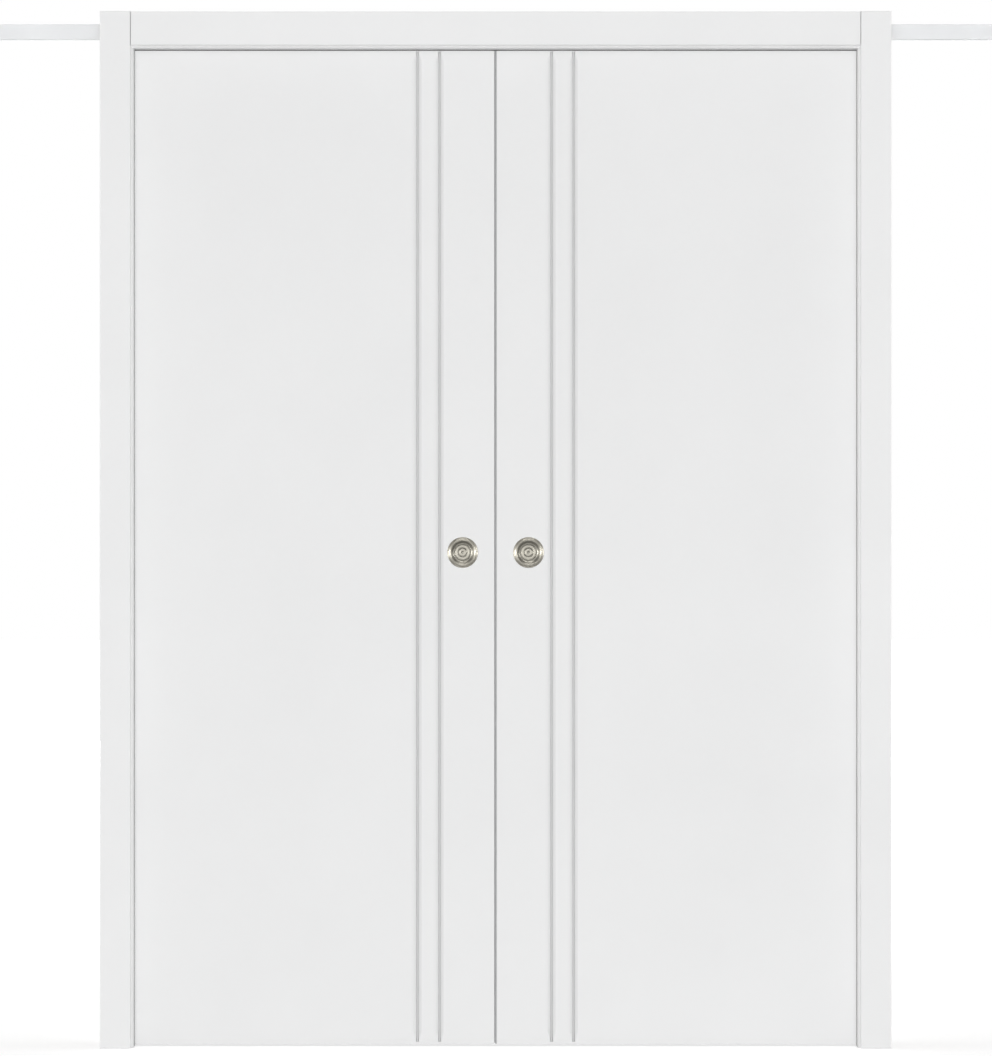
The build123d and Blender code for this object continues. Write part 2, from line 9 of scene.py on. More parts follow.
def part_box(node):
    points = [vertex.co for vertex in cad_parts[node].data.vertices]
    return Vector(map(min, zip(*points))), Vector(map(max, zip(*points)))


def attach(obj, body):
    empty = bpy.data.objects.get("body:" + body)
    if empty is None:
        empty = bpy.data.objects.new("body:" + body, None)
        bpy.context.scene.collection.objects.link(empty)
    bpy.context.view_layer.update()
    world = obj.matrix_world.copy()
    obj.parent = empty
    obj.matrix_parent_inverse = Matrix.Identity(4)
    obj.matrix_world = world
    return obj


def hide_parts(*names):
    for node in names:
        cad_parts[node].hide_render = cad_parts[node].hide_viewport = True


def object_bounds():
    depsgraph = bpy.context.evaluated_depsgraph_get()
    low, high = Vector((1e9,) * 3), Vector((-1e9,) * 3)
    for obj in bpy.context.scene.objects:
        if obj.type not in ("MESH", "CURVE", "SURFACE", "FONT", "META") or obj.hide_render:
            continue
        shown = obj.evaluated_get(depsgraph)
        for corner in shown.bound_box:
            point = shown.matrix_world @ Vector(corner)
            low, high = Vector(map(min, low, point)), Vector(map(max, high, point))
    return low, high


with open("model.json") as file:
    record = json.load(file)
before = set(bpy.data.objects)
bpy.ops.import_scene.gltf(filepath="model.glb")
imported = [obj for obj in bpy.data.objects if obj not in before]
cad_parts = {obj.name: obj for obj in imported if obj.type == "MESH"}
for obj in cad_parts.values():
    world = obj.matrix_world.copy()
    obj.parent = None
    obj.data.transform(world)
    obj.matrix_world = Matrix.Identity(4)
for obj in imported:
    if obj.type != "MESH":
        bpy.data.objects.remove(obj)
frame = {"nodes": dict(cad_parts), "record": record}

bl_info = {
    "name": "Double pocket door",
    "version": (1, 0, 0),
    "blender": (4, 5, 0),
    "location": "3D View > Sidebar > Pocket door",
    "description": "Finishes for a double pocket door, its turned flush pulls and its studio",
    "category": "Object",
}

# Metres, +Z up, the front towards -Y. The right leaf's pieces are at positive X.

CAD_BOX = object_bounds()
SIDES = (("left", -1), ("right", 1))
FACES = (("front", -1), ("back", 1))
MM = 0.001
RECORD_COLORS = {row["slot"]: tuple(row["base_color"]) for row in frame["record"]["materials"]}
PULL_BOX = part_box("right_pull_front")
SLAB_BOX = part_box("right_slab")

# The leaves' grooves, as the CAD mills them, and where the painted shade in them starts and ends

GROOVE_MIDDLE = 136.75 * MM
GROOVE_SPACING = 45 * MM
GROOVE_WIDTH = 17 * MM
GROOVE_DEPTH = 10 * MM
PAINTED_SHADE_START_DEPTH = 0.3 * MM
PAINTED_SHADE_END_MARGIN = 2 * MM
GROOVE_PAINTED_SHADE_GREY = (0.02, 0.02, 0.022, 1.0)

# The joints between the casings: how far from one the painted shade is full, and how far it reaches

JOINT_CORE = 0.8 * MM
JOINT_EDGE = 1.8 * MM
JOINT_PAINTED_SHADE_GREY = (0.1, 0.1, 0.1, 1.0)

# The laminate's sprayed skin, the plies, and the place of the growth rings' pith

LEAF_SKIN_SCALE = 900.0
FRAME_SKIN_SCALE = 1100.0
PLY_THICKNESS = 1.4 * MM
PITH_OFFSET = (13 * MM, 21 * MM, 8 * MM)

# The soft dark fins in the slot between the jambs and the leaves: partly a slot seal, partly painted
# shade, as their edges below and beside the jambs stand in for the shade there

SIDE_SEAL_PROUD = 0.25 * MM
HEAD_SEAL_PROUD = 1.6 * MM
SEAL_ROOT = 1.9 * MM
SEAL_FOOT = 1 * MM
SEAL_TO_LEAF = 0.5 * MM
SEAL_TO_JAMB = 0.05 * MM
SEAL_ROUNDING = 0.3 * MM

# The finer steps of a pull's turned floor

DIMPLE_DEPTH = 0.8 * MM
DIMPLE_FLAT_SHARE = 0.7
RING_FLAT_SHARE = 0.5
RING_STEP = 0.35 * MM
FILLET_INSIDE_SHARE = 0.6
FILLET_POINTS = 6
FILLET_TURN = math.radians(12)

# The finer steps of its rim, where the swell turns at a share of its width and a fall from its top

RIM_CREASE = 0.8 * MM
SWELL_TURNS = ((0.22, 0.2 * MM), (0.5, 0.0), (0.78, 0.3 * MM))
BEAD_TURNS = (0.3, 0.7)
BEAD_FOOT = 0.4 * MM
CORNER_ROUNDING = 0.25 * MM

# How strongly turning has combed its metal, and how much painted shade darkens the hollows of its floor

RIM_COMBING = 0.9
FLOOR_COMBING = 0.3
HOLLOW_PAINTED_SHADE = 0.45

# What counts as the same point, as a sharp edge, as one height and as off the axis

MERGE_DISTANCE = 0.001 * MM
SHARP_ANGLE = math.radians(12)
LEVEL_SLACK = 0.0001 * MM
CORNER_SLACK = 0.1 * MM


def color_property(name, description, default):
    return bpy.props.FloatVectorProperty(
        name=name, description=description, subtype="COLOR", size=3, min=0.0, max=1.0, default=default
    )


def record_color_property(name, slot, description):
    """A colour whose default is the record's."""
    return color_property(name, description, RECORD_COLORS[slot])


def share_property(name, description, default):
    return bpy.props.FloatProperty(
        name=name, description=description, subtype="FACTOR", min=0.0, max=1.0, default=default
    )


def length_property(name, description, default):
    return bpy.props.FloatProperty(
        name=name, description=description, unit="LENGTH", precision=4, default=default
    )


class PocketDoorFinishes(bpy.types.PropertyGroup):
    """The colours of the door's materials."""

    leaf_color: record_color_property("Leaves", "door_laminate", "White laminate of the sliding leaves")
    # Painted shade: how dark a groove's bottom is painted
    groove_painted_shade: share_property("Groove shade", "How much darker a groove's bottom is painted", 0.26)
    # Painted shade: how light the jambs are left beside the casings, for the casings' shadow on them
    jamb_painted_shade: share_property("Jamb shade", "How light the jambs are painted beside the casings", 0.84)
    # Painted shade: how dark the joints between the casings are painted
    joint_painted_shade: share_property("Joint shade", "How much darker the joints between the casings are", 0.2)
    frame_color: record_color_property("Frame", "frame_laminate", "White laminate of casings and jambs")
    softwood_color: record_color_property("Softwood", "softwood", "Late wood of the studs and cleats")
    plywood_color: record_color_property("Plywood", "plywood", "Face veneer of the header board")
    nickel_color: color_property("Satin nickel", "Metal of the flush pulls", (0.155, 0.148, 0.128))
    galvanised_color: record_color_property(
        "Galvanised plate", "galvanised_plate", "Hanger plates and floor brackets"
    )
    cast_color: record_color_property("Cast zinc", "cast_zinc", "Carriages of the hangers")
    screw_color: record_color_property("Zinc screws", "zinc_screw", "Screws, hanger bolts and axles")
    rail_color: record_color_property("Anodised rail", "anodised_rail", "Aluminium rails")
    wheel_color: record_color_property("Wheel nylon", "wheel_nylon", "Hanger wheels")
    guide_color: record_color_property("Guide nylon", "guide_nylon", "Floor guides")
    stop_color: record_color_property("Stop plastic", "stop_plastic", "Stops in the rails")
    # Meeting-edge seals: partly a real seal, partly painted shade for the dark gap between the leaves
    meeting_seal_and_shade_color: record_color_property("Seal rubber", "seal_rubber", "Soft seals in the meeting edges")
    # Dark fins: partly a slot seal, partly painted shade under and beside the jambs
    jamb_seal_and_shade_color: color_property("Jamb seal", "Fins in the slot round a leaf", (0.12, 0.12, 0.122))


class PocketDoorPulls(bpy.types.PropertyGroup):
    """The sizes of the turned flush pulls."""

    radius: length_property("Rim radius", "Outside of the beaded rim", 0.0315)
    bead_width: length_property("Bead width", "Width of the round bead at the rim's edge", 0.0024)
    bead_height: length_property("Bead height", "How far the bead stands off the leaf", 0.0015)
    rim_height: length_property("Rim height", "How far the rim stands off the leaf", 0.0023)
    cup_radius: length_property("Cup mouth radius", "Inside of the rim", 0.0228)
    floor_radius: length_property("Cup floor radius", "Where the cup's wall meets its floor", 0.0196)
    cup_depth: length_property("Cup depth", "Depth of the cup's floor under the leaf's face", 0.0072)
    floor_fillet: length_property("Floor fillet", "Hollow curve between the floor and the wall", 0.0024)
    cup_wall: length_property("Cup wall", "Thickness of the turned metal", 0.0015)
    inner_ring: length_property("Inner ring radius", "Middle of the inner groove in the floor", 0.0088)
    outer_ring: length_property("Outer ring radius", "Middle of the outer groove in the floor", 0.0163)
    ring_width: length_property("Ring width", "Width of the grooves in the floor", 0.0026)
    ring_depth: length_property("Ring depth", "Depth of the grooves in the floor", 0.0011)
    dimple_radius: length_property("Dimple radius", "Radius of the hollow in the floor's middle", 0.0030)
    steps: bpy.props.IntProperty(
        name="Facets", description="Facets round a pull", default=128, min=24, max=256
    )


class PocketDoorStage(bpy.types.PropertyGroup):
    """The camera, lamps and floor of the studio."""

    picture_height: length_property("Picture height", "What the picture takes in at the casings", 2.1445)
    picture_middle: length_property("Picture middle", "Height of the picture's middle", 1.057)
    picture_side: length_property("Picture shift", "How far right of the door's middle it looks", 0.0008)
    camera_distance: length_property("Camera distance", "From the camera to the casings' front", 11.0)
    key_power: bpy.props.FloatProperty(
        name="Key lamps",
        description="Power of the far lamp in front, by which the other key lamps are set",
        unit="POWER",
        default=1690.0,
    )
    gleam: bpy.props.FloatProperty(
        name="Gleam",
        description="Strength of the lamps that light only the pulls",
        subtype="FACTOR",
        default=1.0,
    )
    fill_strength: share_property("Fill", "Strength of the light from all round", 0.3)
    floor_color: color_property("Floor", "Pale studio floor", (0.6, 0.6, 0.6))


# Shader node helpers

def add_node(tree, kind, **values):
    """A node whose properties are set by name, and whose sockets are set by inputs."""
    made = tree.nodes.new(kind)
    inputs = values.pop("inputs", {})
    for name, value in values.items():
        setattr(made, name, value)
    for name, value in inputs.items():
        made.inputs[name].default_value = value
    return made


def opaque(color):
    return (*color, 1.0)


def shaded(color, factor):
    """A colour made darker or lighter."""
    return opaque([min(channel * factor, 1.0) for channel in color])


def new_group(name, inputs, outputs):
    """A shader node group with named sockets."""
    tree = bpy.data.node_groups.new(name, "ShaderNodeTree")
    for label, kind, value in inputs:
        socket = tree.interface.new_socket(label, in_out="INPUT", socket_type=kind)
        if value is not None:
            socket.default_value = value
    for label, kind in outputs:
        tree.interface.new_socket(label, in_out="OUTPUT", socket_type=kind)
    return tree, tree.nodes.new("NodeGroupInput"), tree.nodes.new("NodeGroupOutput")


def plug(tree, source, socket):
    """Links a socket to its source, or gives it a plain value."""
    if isinstance(source, bpy.types.NodeSocket):
        tree.links.new(source, socket)
    else:
        socket.default_value = source


def mix_color(tree, factor, first, second):
    """A colour between two, from sockets or plain colours."""
    mixed = add_node(tree, "ShaderNodeMix", data_type="RGBA")
    colors = [socket for socket in mixed.inputs if socket.type == "RGBA"]
    tree.links.new(factor, mixed.inputs["Factor"])
    for source, socket in zip((first, second), colors):
        plug(tree, source, socket)
    return next(socket for socket in mixed.outputs if socket.type == "RGBA")


def math_node(tree, operation, *values):
    """What an operation makes of sockets or numbers."""
    made = add_node(tree, "ShaderNodeMath", operation=operation)
    for source, socket in zip(values, made.inputs):
        plug(tree, source, socket)
    return made.outputs["Value"]


def distance_from(tree, value, level):
    """How far a value lies from a level, on either side."""
    return math_node(tree, "ABSOLUTE", math_node(tree, "SUBTRACT", value, level))


def spread_value(tree, value, old_range, new_range):
    """A value moved from one range to another, and kept inside it."""
    spread = tree.nodes.new("ShaderNodeMapRange")
    tree.links.new(value, spread.inputs["Value"])
    for label, source in zip(("From Min", "From Max", "To Min", "To Max"), (*old_range, *new_range)):
        plug(tree, source, spread.inputs[label])
    return spread.outputs["Result"]


def separate(tree, vector):
    """The X, Y and Z of a vector."""
    parts = tree.nodes.new("ShaderNodeSeparateXYZ")
    tree.links.new(vector, parts.inputs["Vector"])
    return parts.outputs["X"], parts.outputs["Y"], parts.outputs["Z"]


def put_out_value(tree, given, result, source, old_range):
    """Spreads a source between a group's Low and High, and puts it out as the Value."""
    new_range = (given.outputs["Low"], given.outputs["High"])
    value = spread_value(tree, source, old_range, new_range)
    tree.links.new(value, result.inputs["Value"])


def build_mottle_group():
    """Soft cloudy change between two values."""
    tree, given, result = new_group(
        "Soft mottle",
        [
            ("Vector", "NodeSocketVector", None),
            ("Scale", "NodeSocketFloat", 6.0),
            ("Low", "NodeSocketFloat", 0.0),
            ("High", "NodeSocketFloat", 1.0),
        ],
        [("Value", "NodeSocketFloat")],
    )
    cloud = add_node(tree, "ShaderNodeTexNoise", inputs={"Detail": 3.0, "Roughness": 0.55})
    tree.links.new(given.outputs["Vector"], cloud.inputs["Vector"])
    tree.links.new(given.outputs["Scale"], cloud.inputs["Scale"])
    put_out_value(tree, given, result, cloud.outputs["Fac"], (0.3, 0.7))
    return tree


def build_skin_group():
    """The small hills of a sprayed or moulded skin, with finer ones on top."""
    tree, given, result = new_group(
        "Fine skin",
        [
            ("Vector", "NodeSocketVector", None),
            ("Scale", "NodeSocketFloat", 400.0),
            ("Fine", "NodeSocketFloat", 0.3),
        ],
        [("Height", "NodeSocketFloat")],
    )
    hills = add_node(tree, "ShaderNodeTexNoise", inputs={"Detail": 1.0, "Roughness": 0.4})
    grit = add_node(tree, "ShaderNodeTexNoise", inputs={"Detail": 2.0, "Roughness": 0.6})
    fine_scale = math_node(tree, "MULTIPLY", given.outputs["Scale"], 4.0)
    for cloud in (hills, grit):
        tree.links.new(given.outputs["Vector"], cloud.inputs["Vector"])
    tree.links.new(given.outputs["Scale"], hills.inputs["Scale"])
    tree.links.new(fine_scale, grit.inputs["Scale"])
    small = math_node(tree, "MULTIPLY", grit.outputs["Fac"], given.outputs["Fine"])
    height = math_node(tree, "ADD", hills.outputs["Fac"], small)
    tree.links.new(height, result.inputs["Height"])
    return tree


def build_lines_group():
    """Fine lines that run along X: rolling marks, extrusion lines or turning marks."""
    tree, given, result = new_group(
        "Drawn lines",
        [
            ("Vector", "NodeSocketVector", None),
            ("Scale", "NodeSocketFloat", 600.0),
            ("Run", "NodeSocketFloat", 0.01),
            ("Low", "NodeSocketFloat", 0.0),
            ("High", "NodeSocketFloat", 1.0),
        ],
        [("Value", "NodeSocketFloat"), ("Height", "NodeSocketFloat")],
    )
    along, across, up = separate(tree, given.outputs["Vector"])
    stretched = tree.nodes.new("ShaderNodeCombineXYZ")
    tree.links.new(math_node(tree, "MULTIPLY", along, given.outputs["Run"]), stretched.inputs["X"])
    tree.links.new(across, stretched.inputs["Y"])
    tree.links.new(up, stretched.inputs["Z"])
    lines = add_node(tree, "ShaderNodeTexNoise", inputs={"Detail": 3.0, "Roughness": 0.65})
    tree.links.new(stretched.outputs["Vector"], lines.inputs["Vector"])
    tree.links.new(given.outputs["Scale"], lines.inputs["Scale"])
    put_out_value(tree, given, result, lines.outputs["Fac"], (0.25, 0.75))
    tree.links.new(lines.outputs["Fac"], result.inputs["Height"])
    return tree


def build_grain_group():
    """Wood with its grain along X: growth rings cut lengthwise, and short dark pores."""
    tree, given, result = new_group(
        "Wood grain",
        [
            ("Vector", "NodeSocketVector", None),
            ("Early Wood", "NodeSocketColor", (0.8, 0.7, 0.5, 1.0)),
            ("Late Wood", "NodeSocketColor", (0.6, 0.4, 0.2, 1.0)),
            ("Ring Scale", "NodeSocketFloat", 60.0),
            ("Wander", "NodeSocketFloat", 3.0),
        ],
        [("Color", "NodeSocketColor"), ("Height", "NodeSocketFloat")],
    )
    rings = add_node(
        tree,
        "ShaderNodeTexWave",
        wave_type="RINGS",
        rings_direction="X",
        wave_profile="SAW",
        inputs={"Detail": 2.0, "Detail Scale": 1.2, "Detail Roughness": 0.55},
    )
    tree.links.new(given.outputs["Ring Scale"], rings.inputs["Scale"])
    tree.links.new(given.outputs["Wander"], rings.inputs["Distortion"])
    fibres = add_node(tree, "ShaderNodeTexNoise", inputs={"Scale": 900.0, "Detail": 2.0})
    for pattern, run in ((rings, 0.06), (fibres, 0.03)):
        stretched = add_node(tree, "ShaderNodeMapping", inputs={"Scale": (run, 1.0, 1.0)})
        tree.links.new(given.outputs["Vector"], stretched.inputs["Vector"])
        tree.links.new(stretched.outputs["Vector"], pattern.inputs["Vector"])
    band = math_node(tree, "POWER", rings.outputs["Fac"], 2.2)
    fleck = math_node(tree, "MULTIPLY", fibres.outputs["Fac"], 0.35)
    depth = math_node(tree, "ADD", math_node(tree, "MULTIPLY", band, 0.75), fleck)
    color = mix_color(tree, depth, given.outputs["Early Wood"], given.outputs["Late Wood"])
    tree.links.new(color, result.inputs["Color"])
    tree.links.new(depth, result.inputs["Height"])
    return tree


def build_spangle_group():
    """The crystal patches of hot-dipped or cast zinc."""
    tree, given, result = new_group(
        "Zinc spangle",
        [
            ("Vector", "NodeSocketVector", None),
            ("Scale", "NodeSocketFloat", 220.0),
            ("Low", "NodeSocketFloat", 0.0),
            ("High", "NodeSocketFloat", 1.0),
        ],
        [("Value", "NodeSocketFloat"), ("Shade", "NodeSocketFloat")],
    )
    cells = tree.nodes.new("ShaderNodeTexVoronoi")
    tree.links.new(given.outputs["Vector"], cells.inputs["Vector"])
    tree.links.new(given.outputs["Scale"], cells.inputs["Scale"])
    parts = tree.nodes.new("ShaderNodeSeparateColor")
    tree.links.new(cells.outputs["Color"], parts.inputs["Color"])
    put_out_value(tree, given, result, parts.outputs["Red"], (0.0, 1.0))
    tree.links.new(parts.outputs["Green"], result.inputs["Shade"])
    return tree


GROUP_BUILDERS = {
    "Soft mottle": build_mottle_group,
    "Fine skin": build_skin_group,
    "Drawn lines": build_lines_group,
    "Wood grain": build_grain_group,
    "Zinc spangle": build_spangle_group,
}


def effect(tree, name, vector, **inputs):
    """A shared effect placed in a material with its own values."""
    group = bpy.data.node_groups.get(name) or GROUP_BUILDERS[name]()
    made = tree.nodes.new("ShaderNodeGroup")
    made.node_tree = group
    tree.links.new(vector, made.inputs["Vector"])
    for label, value in inputs.items():
        made.inputs[label.replace("_", " ")].default_value = value
    return made


class Paint:
    """A material being made: its tree, its shader and the object's own coordinates."""

    def __init__(self, name, **constants):
        self.material = bpy.data.materials.new(name)
        self.material.use_nodes = True
        self.tree = self.material.node_tree
        self.shader = self.tree.nodes["Principled BSDF"]
        for label, value in constants.items():
            self.shader.inputs[label.replace("_", " ")].default_value = value
        self.place = self.tree.nodes.new("ShaderNodeTexCoord").outputs["Object"]

    def effect(self, name, vector=None, **inputs):
        return effect(self.tree, name, vector or self.place, **inputs)

    def math(self, operation, *values):
        return math_node(self.tree, operation, *values)

    def distance_from(self, value, level):
        return distance_from(self.tree, value, level)

    def axes(self):
        """The object's own X, Y and Z."""
        return separate(self.tree, self.place)

    def turned(self, location, rotation):
        """The coordinates, moved and turned."""
        moves = {"Location": location, "Rotation": rotation}
        mapping = add_node(self.tree, "ShaderNodeMapping", inputs=moves)
        self.tree.links.new(self.place, mapping.inputs["Vector"])
        return mapping.outputs["Vector"]

    def link(self, source, label):
        self.tree.links.new(source, self.shader.inputs[label])

    def color(self, factor, first, second):
        self.link(mix_color(self.tree, factor, first, second), "Base Color")

    def darken(self, amount, dark):
        """Mixes the colour that the shader already has towards a dark one; used for painted shade."""
        plain = self.shader.inputs["Base Color"].links[0].from_socket
        self.color(amount, plain, dark)

    def bump(self, height, distance):
        """Gives the surface its relief."""
        relief = add_node(self.tree, "ShaderNodeBump", inputs={"Distance": distance})
        self.tree.links.new(height, relief.inputs["Height"])
        self.link(relief.outputs["Normal"], "Normal")


# Materials

def laminate_paint(name, color, skin_scale):
    """Silk white laminate: a faint mottle in tone and gloss and a fine sprayed skin."""
    paint = Paint(name, Coat_Weight=0.12, Coat_Roughness=0.3)
    tone = paint.effect("Soft mottle", Scale=3.0)
    paint.color(tone.outputs["Value"], shaded(color, 0.985), shaded(color, 1.008))
    gloss = paint.effect("Soft mottle", Scale=11.0, Low=0.36, High=0.44)
    paint.link(gloss.outputs["Value"], "Roughness")
    skin = paint.effect("Fine skin", Scale=skin_scale, Fine=0.25)
    paint.bump(skin.outputs["Height"], distance=0.02 * MM)
    return paint


def casing_laminate(name, color, joint_painted_shade):
    """White laminate with painted shade in the joints between the side and head casings."""
    paint = laminate_paint(name, color, skin_scale=FRAME_SKIN_SCALE)
    across, _, height = paint.axes()
    low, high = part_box("head_casing_front")
    # Painted shade in the joints, where shade falls into the gap between the side and head casings
    away = paint.distance_from(paint.math("ABSOLUTE", across), high.x)
    shade = spread_value(paint.tree, away, (JOINT_CORE, JOINT_EDGE), (joint_painted_shade, 0.0))
    beside_head = paint.math("GREATER_THAN", height, low.z)
    paint.darken(paint.math("MULTIPLY", beside_head, shade), JOINT_PAINTED_SHADE_GREY)
    return paint.material


def jamb_laminate_with_painted_shade(name, color, jamb_painted_shade):
    """The frame's white laminate made darker all over: painted shade for the casings' shadow on the
    jambs.
    """
    jamb_color_with_painted_shade = [channel * jamb_painted_shade for channel in color]
    return laminate_paint(name, jamb_color_with_painted_shade, skin_scale=FRAME_SKIN_SCALE).material


def leaf_laminate(name, color, groove_painted_shade):
    """White laminate with painted shade in its milled grooves, darker the deeper they go."""
    paint = laminate_paint(name, color, skin_scale=LEAF_SKIN_SCALE)
    across, deep, height = paint.axes()
    from_middle = paint.distance_from(paint.math("ABSOLUTE", across), GROOVE_MIDDLE)
    from_groove = paint.distance_from(from_middle, GROOVE_SPACING / 2)
    in_width = paint.math("LESS_THAN", from_groove, GROOVE_WIDTH / 2)
    low, high = SLAB_BOX
    from_waist = paint.distance_from(height, (low.z + high.z) / 2)
    in_length = paint.math("LESS_THAN", from_waist, (high.z - low.z) / 2 - PAINTED_SHADE_END_MARGIN)
    depths = (high.y - PAINTED_SHADE_START_DEPTH, high.y - GROOVE_DEPTH)
    # Painted shade in the grooves, darker with depth, standing in for the shade inside them
    shade = spread_value(paint.tree, paint.math("ABSOLUTE", deep), depths, (0.0, groove_painted_shade))
    inside = paint.math("MULTIPLY", in_width, in_length)
    paint.darken(paint.math("MULTIPLY", inside, shade), GROOVE_PAINTED_SHADE_GREY)
    return paint.material


def planed_softwood(name, color, along_z):
    """Planed pine or spruce, its grain along the piece."""
    paint = Paint(name)
    turn = (0, math.pi / 2, 0) if along_z else (0, 0, 0)
    grain = paint.effect(
        "Wood grain",
        paint.turned(location=PITH_OFFSET, rotation=turn),
        Early_Wood=shaded(color, 1.12),
        Late_Wood=shaded(color, 0.66),
        Ring_Scale=34.0,
        Wander=2.5,
    )
    paint.link(grain.outputs["Color"], "Base Color")
    gloss = paint.effect("Soft mottle", Scale=40.0, Low=0.58, High=0.72)
    paint.link(gloss.outputs["Value"], "Roughness")
    paint.bump(grain.outputs["Height"], distance=0.08 * MM)
    return paint.material


def layered_plywood(name, color):
    """Plywood: a face veneer with long grain, and plies that show along the edges."""
    paint = Paint(name)
    _, _, height = paint.axes()
    ply_count = paint.math("MULTIPLY", height, 1 / PLY_THICKNESS)
    ply = paint.math("PINGPONG", ply_count, 1.0)
    grain = paint.effect(
        "Wood grain",
        Early_Wood=shaded(color, 1.14),
        Late_Wood=shaded(color, 0.78),
        Ring_Scale=16.0,
        Wander=5.0,
    )
    dark = paint.math("MULTIPLY", paint.math("GREATER_THAN", ply, 0.6), 0.3)
    paint.color(dark, grain.outputs["Color"], shaded(color, 0.5))
    gloss = paint.effect("Soft mottle", Scale=30.0, Low=0.6, High=0.75)
    paint.link(gloss.outputs["Value"], "Roughness")
    paint.bump(grain.outputs["Height"], distance=0.06 * MM)
    return paint.material


def turned_nickel(name, color, combing, sizes, middle, height):
    """Satin nickel with the fine rings that turning leaves, round each pull's own axis, and painted
    shade in the floor's dimple and grooves.
    """
    paint = Paint(name, Metallic=1.0, Anisotropic=combing, Anisotropic_Rotation=0.25)
    tangent = add_node(paint.tree, "ShaderNodeTangent", direction_type="RADIAL", axis="Y")
    paint.link(tangent.outputs["Tangent"], "Tangent")
    across, _, up = paint.axes()
    side = paint.math("SUBTRACT", paint.math("ABSOLUTE", across), middle)
    rise = paint.math("SUBTRACT", up, height)
    square = paint.math("ADD", paint.math("MULTIPLY", side, side), paint.math("MULTIPLY", rise, rise))
    radius = paint.math("SQRT", square)
    rings = paint.tree.nodes.new("ShaderNodeCombineXYZ")
    paint.tree.links.new(radius, rings.inputs["Y"])
    vector = rings.outputs["Vector"]
    lines = paint.effect("Drawn lines", vector, Scale=2600.0, Run=0.0, Low=0.38, High=0.48)
    paint.link(lines.outputs["Value"], "Roughness")
    tone = paint.effect("Soft mottle", Scale=60.0)
    paint.color(tone.outputs["Value"], shaded(color, 0.94), shaded(color, 1.03))
    # Painted shade: the dimple and the floor's two grooves are darkened towards a dark nickel
    hollows = paint.math("LESS_THAN", radius, sizes.dimple_radius)
    for ring in (sizes.inner_ring, sizes.outer_ring):
        in_groove = paint.math("LESS_THAN", paint.distance_from(radius, ring), sizes.ring_width / 2)
        hollows = paint.math("ADD", hollows, in_groove)
    paint.darken(paint.math("MULTIPLY", hollows, HOLLOW_PAINTED_SHADE), shaded(color, 0.2))
    paint.bump(lines.outputs["Height"], distance=0.01 * MM)
    return paint.material


def galvanised_sheet(name, color):
    """Hot-dipped plate with crystal patches and faint rolling lines."""
    paint = Paint(name, Metallic=1.0)
    cells = paint.effect("Zinc spangle", Scale=260.0, Low=0.34, High=0.5)
    paint.link(cells.outputs["Value"], "Roughness")
    paint.color(cells.outputs["Shade"], shaded(color, 0.84), shaded(color, 1.05))
    lines = paint.effect("Drawn lines", Scale=700.0, Run=0.02)
    paint.bump(lines.outputs["Height"], distance=0.01 * MM)
    return paint.material


def cast_zinc(name, color):
    """Die-cast zinc: a dull grey skin with fine pits."""
    paint = Paint(name, Metallic=1.0)
    tone = paint.effect("Zinc spangle", Scale=900.0, Low=0.46, High=0.6)
    paint.link(tone.outputs["Value"], "Roughness")
    cloud = paint.effect("Soft mottle", Scale=90.0)
    paint.color(cloud.outputs["Value"], shaded(color, 0.82), shaded(color, 1.0))
    skin = paint.effect("Fine skin", Scale=1400.0, Fine=0.6)
    paint.bump(skin.outputs["Height"], distance=0.06 * MM)
    return paint.material


def bright_zinc(name, color):
    """Zinc plate on small turned and pressed steel."""
    paint = Paint(name, Metallic=1.0)
    gloss = paint.effect("Soft mottle", Scale=500.0, Low=0.22, High=0.34)
    paint.link(gloss.outputs["Value"], "Roughness")
    tone = paint.effect("Soft mottle", Scale=120.0)
    paint.color(tone.outputs["Value"], shaded(color, 0.88), shaded(color, 1.04))
    skin = paint.effect("Fine skin", Scale=2500.0, Fine=0.3)
    paint.bump(skin.outputs["Height"], distance=0.01 * MM)
    return paint.material


def anodised_aluminium(name, color):
    """Natural anodised extrusion, with die lines along its length."""
    paint = Paint(name, Metallic=1.0)
    lines = paint.effect("Drawn lines", Scale=900.0, Run=0.004, Low=0.3, High=0.42)
    paint.link(lines.outputs["Value"], "Roughness")
    tone = paint.effect("Soft mottle", Scale=8.0)
    paint.color(tone.outputs["Value"], shaded(color, 0.96), shaded(color, 1.02))
    paint.bump(lines.outputs["Height"], distance=0.02 * MM)
    return paint.material


def moulded_plastic(name, color, roughness, skin_scale):
    """Moulded nylon or hard plastic with a fine matt skin."""
    paint = Paint(name, Specular_IOR_Level=0.45)
    gloss = paint.effect("Soft mottle", Scale=150.0, Low=roughness - 0.05, High=roughness + 0.05)
    paint.link(gloss.outputs["Value"], "Roughness")
    tone = paint.effect("Soft mottle", Scale=60.0)
    paint.color(tone.outputs["Value"], shaded(color, 0.94), shaded(color, 1.03))
    skin = paint.effect("Fine skin", Scale=skin_scale, Fine=0.5)
    paint.bump(skin.outputs["Height"], distance=0.02 * MM)
    return paint.material


def dress(material, *names):
    """Gives CAD nodes their material."""
    for name in names:
        node = frame["nodes"][name]
        if not node.material_slots:
            node.data.materials.append(material)
        for slot in node.material_slots:
            slot.material = material


def on_both_sides(*names):
    return [f"{side}_{name}" for side, _ in SIDES for name in names]


def on_both_faces(*names):
    return [f"{name}_{face}" for name in names for face, _ in FACES]


# Pieces

def floor_end(sizes):
    """The radius at which a pull's flat floor turns up into its fillet."""
    return sizes.floor_radius - sizes.floor_fillet * FILLET_INSIDE_SHARE


